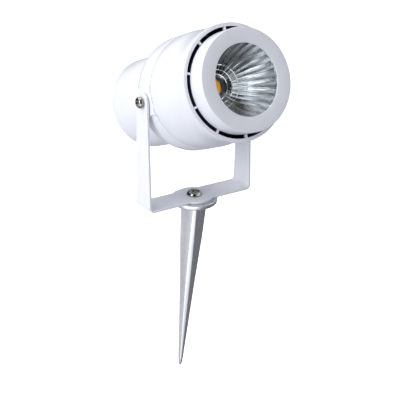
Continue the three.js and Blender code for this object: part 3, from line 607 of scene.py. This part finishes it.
def mirror_bowl_shape(facets):
    """The reflector in mm: rounded flutes round a bowl that flares quickly at the light source. It
    is plain there but for three fine steps, and small pillowed rows cross its outer part."""
    wall = 1.0
    apex = THROAT_AT - 1.5

    def radius_at(forward):
        return MOUTH_RADIUS * ((forward - apex) / (MOUTH_AT - apex)) ** 0.367

    inside = []
    forward = THROAT_AT
    for step in (37.2, 39.8, 44.0):
        inside += [(radius_at(s), s) for s in (forward, (forward + step) / 2, step - 0.25)]
        inside.append((radius_at(step) - 0.35, step))
        forward = step + 0.1
    inside += [(radius_at(s), s) for s in (forward, 47.5)]
    rows_from, rows = 51.0, 20
    row_length = (MOUTH_AT - rows_from) / rows
    for row in range(rows):
        start = rows_from + row * row_length
        swell = 0.03 + 0.05 * row / rows
        inside.append((radius_at(start), start))
        inside += [
            (radius_at(s) - swell, s) for s in (start + row_length / 3, start + row_length * 2 / 3)]
    inside.append((MOUTH_RADIUS, MOUTH_AT))
    outside = [(37.3, MOUTH_AT), (37.3, 81.6)]
    outside += [(radius_at(s) + wall, s) for s in (81.4, 72, 62, 54, 47, 42, 39, 37.3, 36.3)]
    bm = bmesh.new()
    chain_of(bm, [(r, -s, 0) for r, s in inside + outside], closed=True)
    strip, steps = math.tau / facets, 4
    bmesh.ops.spin(
        bm, geom=bm.verts[:] + bm.edges[:], cent=(0, 0, 0), axis=(0, 1, 0), angle=strip,
        steps=steps, use_merge=False, use_duplicate=False)
    for step in range(1, steps):
        swell = 0.011 * (1 - (2 * step / steps - 1) ** 2)
        line = [
            v for v in bm.verts
            if abs(math.atan2(abs(v.co.z), v.co.x) - strip * step / steps) < 1e-3
            and math.hypot(v.co.x, v.co.z) < radius_at(-v.co.y) + 0.1]
        bmesh.ops.scale(bm, verts=line, vec=(1 - swell, 1, 1 - swell))
    repeat_round(bm, facets)
    bmesh.ops.remove_doubles(bm, verts=bm.verts, dist=0.002)
    bmesh.ops.recalc_face_normals(bm, faces=bm.faces)
    return bm


# ---- Operators ----------------------------------------------------------------------------
class SPOTLIGHT_OT_finishes(bpy.types.Operator):
    """Make every finish and put it on the frame's own parts"""

    bl_idname = "spotlight.finishes"
    bl_label = "Finishes"

    def execute(self, context):
        FINISHES.update(make_finishes(context.scene.spotlight.colours))
        for part in frame["record"]["subparts"]:
            mesh = frame["nodes"][part["node"]].data
            if not mesh.materials:
                mesh.materials.append(None)
            for i in range(len(mesh.materials)):
                mesh.materials[i] = FINISHES[part["material_slot"]]
        return {"FINISHED"}


class SPOTLIGHT_OT_spike(bpy.types.Operator):
    """Build the cast stake and its round flange"""

    bl_idname = "spotlight.spike"
    bl_label = "Ground Spike"

    def execute(self, context):
        sizes = context.scene.spotlight.spike
        radius = sizes.flange_radius / MM
        top = sizes.flange_thickness / MM
        hole, depth = 4.3, 8
        flange = lathe(
            [(0, 0), (radius - 0.6, 0), (radius, top * 0.5), (radius, top), (hole, top),
             (hole, top - depth), (0, top - depth)],
            {1: (1.0, 4), 2: (1.4, 4), 3: (0.7, 4)}, closed=False, about="Z")
        finish_piece(
            join([flange, shaft_shape(sizes)]), "ground_spike", "spike", "spike",
            "cast_aluminium", sharp=22)
        return {"FINISHED"}


class SPOTLIGHT_OT_bracket(bpy.types.Operator):
    """Fold the bracket from its sheet"""

    bl_idname = "spotlight.bracket"
    bl_label = "Bracket"

    def execute(self, context):
        finish_piece(
            strap_shape(context.scene.spotlight.bracket), "folded_bracket", "bracket", "bracket",
            "white_paint", sharp=30)
        return {"FINISHED"}


class SPOTLIGHT_OT_screws(bpy.types.Operator):
    """Build the base screw and both pivot screws with their washers"""

    bl_idname = "spotlight.screws"
    bl_label = "Screws and Washers"

    def execute(self, context):
        low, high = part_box("base_screw")
        head_height, shank, recess = 4.2, 8, 1.9
        screw = screw_shape(
            (high.x - low.x) / MM, head_height, shank, (high.z - low.z) / MM - head_height, recess)
        rotate(screw, math.radians(38))
        finish_piece(
            screw, "base_pan_screw", "spike", "base_screw", "stainless_steel",
            Matrix.Translation((0, 0, high.z - head_height * MM)))
        for label, side in (("left", -1), ("right", 1)):
            self.pivot(label, side)
        return {"FINISHED"}

    def pivot(self, label, side):
        """The screw, split washer and rubber spacer that hold one arm, from outside to inside."""
        bore = 2.8
        facing = Matrix.Rotation(side * math.radians(90), 4, "Y")
        head, head_height, shank, recess = 10.6, 3.6, 5, 1.4
        low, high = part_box(f"pivot_screw_{label}")
        seat = max(abs(low.x), abs(high.x)) - head_height * MM
        screw = screw_shape(head, head_height, shank, (high.x - low.x) / MM - head_height, recess)
        finish_piece(
            screw, f"pivot_pan_screw_{label}", "head", f"pivot_screw_{label}", "stainless_steel",
            Matrix.Translation(PIVOT + Vector((side * seat, 0, 0))) @ facing
            @ Matrix.Rotation(0.5, 4, "Z"))

        washer = bmesh.new()
        rim, half = 4.6, 0.42
        ring = [(bore, -half), (rim, -half), (rim, half), (bore, half)]
        section = washer.faces.new([washer.verts.new((r, 0, z)) for r, z in ring])
        bmesh.ops.spin(
            washer, geom=[section] + section.edges[:] + section.verts[:], cent=(0, 0, 0),
            axis=(0, 0, 1), dvec=(0, 0, 0.2 / 48), angle=math.radians(348), steps=48,
            use_merge=False, use_duplicate=False)
        bmesh.ops.recalc_face_normals(washer, faces=washer.faces)
        ease_edges(washer, 0.12, 2, 60)
        low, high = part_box(f"pivot_lock_washer_{label}")
        finish_piece(
            washer, f"split_washer_{label}", "head", f"pivot_lock_washer_{label}",
            "stainless_steel",
            Matrix.Translation(((low.x + high.x) / 2, PIVOT.y, PIVOT.z)) @ facing)

        low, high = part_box(f"pivot_spacer_{label}")
        half, rim = (high.x - low.x) / MM / 2, 6
        spacer = lathe(
            [(bore, -half), (rim, -half), (rim, half), (bore, half)],
            {1: (0.2, 2), 2: (0.2, 2)}, 64, True, "Z")
        finish_piece(
            spacer, f"rubber_spacer_{label}", "head", f"pivot_spacer_{label}", "black_rubber",
            Matrix.Translation(((low.x + high.x) / 2, PIVOT.y, PIVOT.z)) @ facing)


class SPOTLIGHT_OT_front(bpy.types.Operator):
    """Build the front ring with its clear glass"""

    bl_idname = "spotlight.front"
    bl_label = "Front Ring and Glass"

    def execute(self, context):
        opening = context.scene.spotlight.head.aperture_radius / MM
        seat, wall, flange = 47, 42.7, 36.5
        back_of_face = RING_FACE - RING_SHEET
        ring = lathe(
            [(opening, RING_FACE), (RING_RADIUS, RING_FACE), (RING_RADIUS, RING_BACK),
             (BARREL_RADIUS, RING_BACK - 0.2), (BARREL_RADIUS, BARREL_END), (flange, BARREL_END),
             (flange, seat), (wall, seat), (wall, back_of_face), (opening, back_of_face)],
            {0: (0.3, 3), 1: (0.8, 5), 9: (0.3, 2)})
        # The barrel behind the ring is painted black as shade in the slot, from the middle of the small step at
        # the ring's back.
        step = (RING_BACK - 0.1) * MM
        back = ON_HEAD.inverted()
        finish_piece(
            ring, "front_ring", "head", "front_bezel", "white_paint", ON_HEAD,
            mark=lambda face: SLOT_SHADE if (back @ face.calc_center_median()).y > -step else 0)
        front, rear, rim = 85.7, 83.1, 40.2
        glass = lathe(
            [(0, front), (rim, front), (rim, rear), (0, rear)], {1: (0.4, 2), 2: (0.4, 2)},
            closed=False)
        finish_piece(glass, "lens_glass", "head", "front_glass", "clear_glass", ON_HEAD)
        return {"FINISHED"}


class SPOTLIGHT_OT_light_source(bpy.types.Operator):
    """Build the faceted reflector, the phosphor disc and its holder"""

    bl_idname = "spotlight.light_source"
    bl_label = "Reflector and Light Source"

    def execute(self, context):
        bowl = mirror_bowl_shape(context.scene.spotlight.head.facets)
        finish_piece(
            bowl, "faceted_reflector", "head", "reflector", "mirror_aluminium", ON_HEAD, sharp=15)
        gel = lathe(
            [(0, 33.75), (6.2, 33.5), (7, 33.1), (7, 32.6), (0, 32.6)], {1: (1.5, 4)}, 64, False)
        finish_piece(gel, "phosphor_disc", "head", "cob_emitter", "phosphor", ON_HEAD)
        rear, front, rim, recess = 31.3, 35.7, 20.6, 12
        holder = lathe(
            [(recess, rear), (rim, rear), (rim, front), (8.6, front), (7.4, 33.85),
             (recess, 33.85)],
            {2: (0.8, 3), 3: (0.3, 2), 4: (0.2, 2)}, 72)
        finish_piece(
            holder, "source_holder", "head", "cob_holder", "dark_grey_plastic", ON_HEAD)
        return {"FINISHED"}


class SPOTLIGHT_OT_shells(bpy.types.Operator):
    """Build the slotted jacket, the middle ring with its pads, the rear shell and its seal"""

    bl_idname = "spotlight.shells"
    bl_label = "Painted Shells"

    def execute(self, context):
        self.jacket(context.scene.spotlight.head.tabs)
        self.middle_ring()
        self.rear_shell()
        return {"FINISHED"}

    def jacket(self, tab_count):
        """The jacket with the tabs that tie it to the barrel; its inner wall is painted black as shade in the
        slots.
        """
        waist = [(26, 53.2), (33, 52.75), (40, 51.8), (47, 51.4), (54, 51.6), (62, 52.2)]
        shell = lathe(
            [(JACKET_BORE, JACKET_REAR), (JACKET_RADIUS, JACKET_REAR),
             *((radius, forward) for forward, radius in waist), (52.2, JACKET_FRONT),
             (48.7, JACKET_FRONT), (48.7, 62), (48.9, 50), (49.3, 40), (JACKET_BORE, 31)],
            {1: (0.8, 4), **{number: (3, 4) for number in range(2, 8)}, 8: (0.6, 4), 9: (0.3, 3)})
        for face in shell.faces:
            middle = face.calc_center_median()
            within = math.hypot(middle.x, middle.z) < JACKET_BORE + 0.3
            if within and JACKET_REAR + 0.2 < -middle.y < JACKET_FRONT - 0.5:
                face.material_index = SLOT_SHADE
        tab = block((-1, -69.5, BARREL_RADIUS + 0.45), (1, -66.7, 49.7), 0.25)
        repeat_round(tab, tab_count)
        finish_piece(
            join([shell, tab]), "slotted_jacket", "head", "shroud", "white_paint", ON_HEAD)

    def middle_ring(self):
        """The ring with a pad for each arm; the face that meets the jacket is painted black as shade."""
        neck, spigot, spigot_front = 50, 47.6, 18
        ring = lathe(
            [(0, -18), (46.2, -18), (neck, -11), (neck, 8), (spigot, 10.5), (spigot, spigot_front),
             (neck, spigot_front), (neck, MIDDLE_FRONT), (MIDDLE_RADIUS, MIDDLE_FRONT),
             (MIDDLE_RADIUS, -17.45), (44.02, -24.02), (REAR_RADIUS, MIDDLE_REAR),
             (0, MIDDLE_REAR)],
            {8: (0.9, 4), 9: (11.4, 14)}, closed=False)
        for face in ring.faces:
            if abs(face.calc_center_median().y + MIDDLE_FRONT) < 0.05:
                face.material_index = SLOT_SHADE
        pads = []
        for side in (-1, 1):
            low_x, high_x = sorted((side * 49, side * 53.5))
            pad = block((low_x, -12, -13.5), (high_x, 9.5, 13.5))
            outer = [
                e for e in pad.edges
                if all(abs(v.co.x) > neck for v in e.verts)
                or (abs(e.verts[0].co.x - e.verts[1].co.x) > 1 and e.verts[0].co.y > 0)]
            round_off(pad, outer, 1.1, 4)
            pads.append(pad)
        finish_piece(
            join([ring, *pads]), "middle_ring", "head", "mid_housing", "white_paint", ON_HEAD)

    def rear_shell(self):
        inner_end, gland_hole = -87.1, 6.3
        shell = lathe(
            [(REAR_BORE, REAR_FRONT), (REAR_RADIUS, REAR_FRONT), (REAR_RADIUS, REAR_END),
             (gland_hole, REAR_END), (gland_hole, inner_end), (REAR_BORE, inner_end)],
            {1: (0.4, 3), 2: (6, 12), 5: (3.2, 4)})
        finish_piece(shell, "rear_shell", "head", "rear_housing", "white_paint", ON_HEAD)
        seal = lathe(
            [(40.9, -25.3), (43.2, -25.3), (43.2, -24.4), (40.9, -24.4)],
            {1: (0.25, 2), 2: (0.25, 2)})
        finish_piece(seal, "rear_seal", "head", "housing_gasket", "black_rubber", ON_HEAD)


class SPOTLIGHT_OT_gland(bpy.types.Operator):
    """Build the cable gland in the back of the rear shell"""

    bl_idname = "spotlight.gland"
    bl_label = "Cable Gland"

    def execute(self, context):
        thread_end, seat_rear, seat_front = -103.4, -95.4, -91.4
        tube = lathe(
            [(GLAND_BORE, thread_end), (6, thread_end), (6, -81.9), (GLAND_BORE, -81.9)],
            {1: (0.4, 2)}, 64)
        body = join([tube, hexagon_ring(GLAND_ACROSS, 5.9, seat_rear, seat_front)])
        finish_piece(body, "gland_seat", "head", "gland_body", "black_plastic", ON_HEAD)

        tip, nut_front, inner_tip = -109.7, -95.7, -107.7
        cap = lathe(
            [(GLAND_BORE, tip), (6.2, tip), (8.4, -104.7), (8.4, nut_front), (6.3, nut_front),
             (6.3, inner_tip), (GLAND_BORE, inner_tip)],
            {0: (0.5, 3), 1: (0.9, 5), 2: (2.4, 6)}, 72)
        rib_count = 18
        ribs = block((-0.45, 98.2, 7.9), (0.45, 104.4, 8.75), 0.2)
        repeat_round(ribs, rib_count)
        nut = join([cap, hexagon_ring(GLAND_ACROSS, 8.0, -103.7, nut_front), ribs])
        finish_piece(nut, "gland_cap_nut", "head", "gland_nut", "black_plastic", ON_HEAD)

        seal = lathe(
            [(4.2, -106.7), (5.6, -106.7), (5.9, -103.7), (4.2, -103.7)], {0: (0.4, 3)}, 64)
        finish_piece(seal, "gland_sleeve", "head", "gland_seal", "black_rubber", ON_HEAD)
        ring = lathe(
            [(6.3, -91.1), (8, -91.1), (8, -90.2), (6.3, -90.2)], {1: (0.4, 3), 2: (0.4, 3)}, 64)
        finish_piece(ring, "gland_face_seal", "head", "gland_o_ring", "black_rubber", ON_HEAD)
        return {"FINISHED"}


def softbox(name, position, target, size, watts):
    """A studio light with a square diffuser that faces its target."""
    data = bpy.data.lights.new(name, "AREA")
    data.shape = "RECTANGLE"
    data.size, data.size_y = size
    data.energy = watts
    light = bpy.data.objects.new(name, data)
    light.location = position
    light.rotation_euler = (Vector(target) - Vector(position)).to_track_quat("-Z", "Y").to_euler()
    bpy.context.scene.collection.objects.link(light)


class SPOTLIGHT_OT_stage(bpy.types.Operator):
    """Set the pale floor, the soft lights and the camera"""

    bl_idname = "spotlight.stage"
    bl_label = "Studio"

    def execute(self, context):
        scene = context.scene
        self.floor(scene)
        self.lights(scene)
        self.camera(scene)
        scene.view_settings.view_transform = "Standard"
        return {"FINISHED"}

    def floor(self, scene):
        """A wide round sheet of pale backing paper under the tip of the spike."""
        bm = bmesh.new()
        bmesh.ops.create_circle(bm, cap_ends=True, segments=96, radius=9)
        bmesh.ops.translate(bm, verts=bm.verts, vec=(0, 0, CAD_BOX[0].z - 0.001))
        mesh = bpy.data.meshes.new("studio_floor")
        bm.to_mesh(mesh)
        bm.free()
        tint = list(scene.spotlight.colours.floor)
        material, tree, colour, _ = new_finish(
            "pale_backing_paper", [c * 0.99 for c in tint], tint, (30, 2.0))
        shader = add(tree, "ShaderNodeBsdfPrincipled", inputs={
            "Base Color": colour,
            "Roughness": 0.9,
            "Specular IOR Level": 0.1,
            "Emission Color": (1, 1, 1, 1),
            "Emission Strength": 0.7,
        })
        add(tree, "ShaderNodeOutputMaterial", inputs={"Surface": shader.outputs["BSDF"]})
        mesh.materials.append(material)
        floor = bpy.data.objects.new("studio_floor", mesh)
        scene.collection.objects.link(floor)
        floor.visible_diffuse = False
        floor.visible_glossy = False
        floor.visible_transmission = False

    def lights(self, scene):
        middle = (0, 0, 0.08)
        softbox("left_softbox", (-1.7, -0.3, 0.75), middle, (1.3, 1.5), 24)
        softbox("top_softbox", (-0.2, 0.7, 1.85), middle, (2.2, 2.2), 30)
        world = bpy.data.worlds.new("studio_air")
        scene.world = world
        world.use_nodes = True
        tree = world.node_tree
        tree.nodes.clear()
        path = add(tree, "ShaderNodeLightPath")
        towards = add(tree, "ShaderNodeTexCoord").outputs["Generated"]
        axes = add(tree, "ShaderNodeSeparateXYZ", inputs={"Vector": towards}).outputs
        tint = (*linear("E9ECF6"), 1)
        # Matt surfaces: soft light from all round, strongest off the floor at the left.
        floor_side = add(tree, "ShaderNodeVectorMath", {"operation": "DOT_PRODUCT"}, {
            0: towards, 1: (-0.6, -0.3, -0.74)}).outputs["Value"]
        bounce = add(tree, "ShaderNodeMapRange", inputs={
            "Value": floor_side, "From Min": -1, "From Max": 1,
            "To Min": 0.18, "To Max": 0.84}).outputs["Result"]
        fill = add(tree, "ShaderNodeBackground", inputs={"Color": tint, "Strength": bounce})
        # Shiny surfaces above the horizon: a bright screen at the front right, dark at the left.
        screen = add(tree, "ShaderNodeMapRange", {"interpolation_type": "SMOOTHSTEP"}, {
            "Value": axes["X"], "From Min": -0.22, "From Max": 0.5,
            "To Min": 0.02, "To Max": 2.2})
        gaps = add(tree, "ShaderNodeTexNoise", inputs={
            "Vector": towards, "Scale": 4.0, "Detail": 1.0, "Roughness": 0.5})
        frames = add(tree, "ShaderNodeMapRange", inputs={
            "Value": gaps.outputs["Fac"], "From Min": 0.44, "From Max": 0.54,
            "To Min": 0.2, "To Max": 1.3})
        screens = add(tree, "ShaderNodeMath", {"operation": "MULTIPLY"}, {
            0: screen.outputs["Result"], 1: frames.outputs["Result"]})
        ahead = add(tree, "ShaderNodeMapRange", inputs={
            "Value": axes["Y"], "From Min": -0.3, "From Max": 0.4, "To Min": 1.0, "To Max": 0.26})
        overhead = add(tree, "ShaderNodeMapRange", inputs={
            "Value": axes["Z"], "From Min": 0.35, "From Max": 0.85, "To Min": 1.0, "To Max": 0.4})
        level = add(tree, "ShaderNodeMath", {"operation": "MULTIPLY"}, {
            0: ahead.outputs["Result"], 1: overhead.outputs["Result"]})
        upper = add(tree, "ShaderNodeMath", {"operation": "MULTIPLY"}, {
            0: screens.outputs["Value"], 1: level.outputs["Value"]})
        # Shiny surfaces below it: the lit floor at the front left, and a paler floor at the back.
        lit_floor = add(tree, "ShaderNodeVectorMath", {"operation": "DOT_PRODUCT"}, {
            0: towards, 1: (-0.78, -0.625, 0)}).outputs["Value"]
        nearness = add(tree, "ShaderNodeMapRange", inputs={
            "Value": lit_floor, "From Min": -0.6, "From Max": 0.8})
        falloff = add(tree, "ShaderNodeMath", {"operation": "POWER"}, {
            0: nearness.outputs["Result"], 1: 7.0})
        behind = add(tree, "ShaderNodeMapRange", inputs={
            "Value": axes["Y"], "From Min": 0.25, "From Max": 0.7, "To Min": 0.2, "To Max": 1.1})
        lower = add(tree, "ShaderNodeMath", {"operation": "MULTIPLY_ADD"}, {
            0: falloff.outputs["Value"], 1: 2.3, 2: behind.outputs["Result"]})
        height = add(tree, "ShaderNodeMapRange", inputs={
            "Value": axes["Z"], "From Min": -0.3, "From Max": -0.1})
        glow = add(tree, "ShaderNodeMix", {"data_type": "FLOAT"}, {
            0: height.outputs["Result"], 2: lower.outputs["Value"], 3: upper.outputs["Value"]})
        walls = add(tree, "ShaderNodeBackground", inputs={
            "Color": (*linear("F5F6F8"), 1), "Strength": glow.outputs[0]})
        seen = add(tree, "ShaderNodeBackground", inputs={"Color": (1, 1, 1, 1), "Strength": 1.0})
        lit = add(tree, "ShaderNodeMixShader", inputs={
            "Fac": path.outputs["Is Glossy Ray"], 1: fill.outputs["Background"],
            2: walls.outputs["Background"]})
        mix = add(tree, "ShaderNodeMixShader", inputs={
            "Fac": path.outputs["Is Camera Ray"], 1: lit.outputs["Shader"],
            2: seen.outputs["Background"]})
        add(tree, "ShaderNodeOutputWorld", inputs={"Surface": mix.outputs["Shader"]})

    def camera(self, scene):
        """A 96 mm lens from the front left, looking a little down."""
        turn, rise, roll = (math.radians(a) for a in (-33.385, 23.943, 0.755))
        back = Vector((
            math.sin(turn) * math.cos(rise), -math.cos(turn) * math.cos(rise), math.sin(rise)))
        level = Vector((math.cos(turn), math.sin(turn), 0))
        upright = back.cross(level)
        right = level * math.cos(roll) + upright * math.sin(roll)
        up = upright * math.cos(roll) - level * math.sin(roll)
        data = bpy.data.cameras.new("studio_camera")
        data.sensor_width = 36
        data.lens = 95.66
        camera = bpy.data.objects.new("studio_camera", data)
        scene.collection.objects.link(camera)
        place = Matrix((right, up, back)).transposed().to_4x4()
        place.translation = PIVOT + back * 0.97553 + right * 0.00436 - up * 0.09905
        camera.matrix_world = place
        scene.camera = camera


class SPOTLIGHT_PT_panel(bpy.types.Panel):
    bl_label = "Garden Spotlight"
    bl_idname = "SPOTLIGHT_PT_panel"
    bl_space_type = "VIEW_3D"
    bl_region_type = "UI"
    bl_category = "Spotlight"

    def draw(self, context):
        settings = context.scene.spotlight
        for title, group in (("Spike", settings.spike), ("Bracket", settings.bracket),
                             ("Head", settings.head), ("Colours", settings.colours)):
            box = self.layout.box()
            box.label(text=title)
            for name in group.__annotations__:
                box.prop(group, name)
        for operator in STEPS:
            self.layout.operator(operator.bl_idname)


GROUPS = (SpotlightSpike, SpotlightBracket, SpotlightHead, SpotlightColours, SpotlightSettings)
STEPS = (
    SPOTLIGHT_OT_finishes, SPOTLIGHT_OT_stage, SPOTLIGHT_OT_spike, SPOTLIGHT_OT_bracket,
    SPOTLIGHT_OT_screws, SPOTLIGHT_OT_front, SPOTLIGHT_OT_light_source, SPOTLIGHT_OT_shells,
    SPOTLIGHT_OT_gland,
)


def register():
    for part in (*GROUPS, *STEPS, SPOTLIGHT_PT_panel):
        bpy.utils.register_class(part)
    bpy.types.Scene.spotlight = PointerProperty(type=SpotlightSettings)


def unregister():
    del bpy.types.Scene.spotlight
    for part in reversed((*GROUPS, *STEPS, SPOTLIGHT_PT_panel)):
        bpy.utils.unregister_class(part)


def main():
    register()
    for step in STEPS:
        group, name = step.bl_idname.split(".")
        getattr(getattr(bpy.ops, group), name)()


if __name__ == "__main__":
    main()
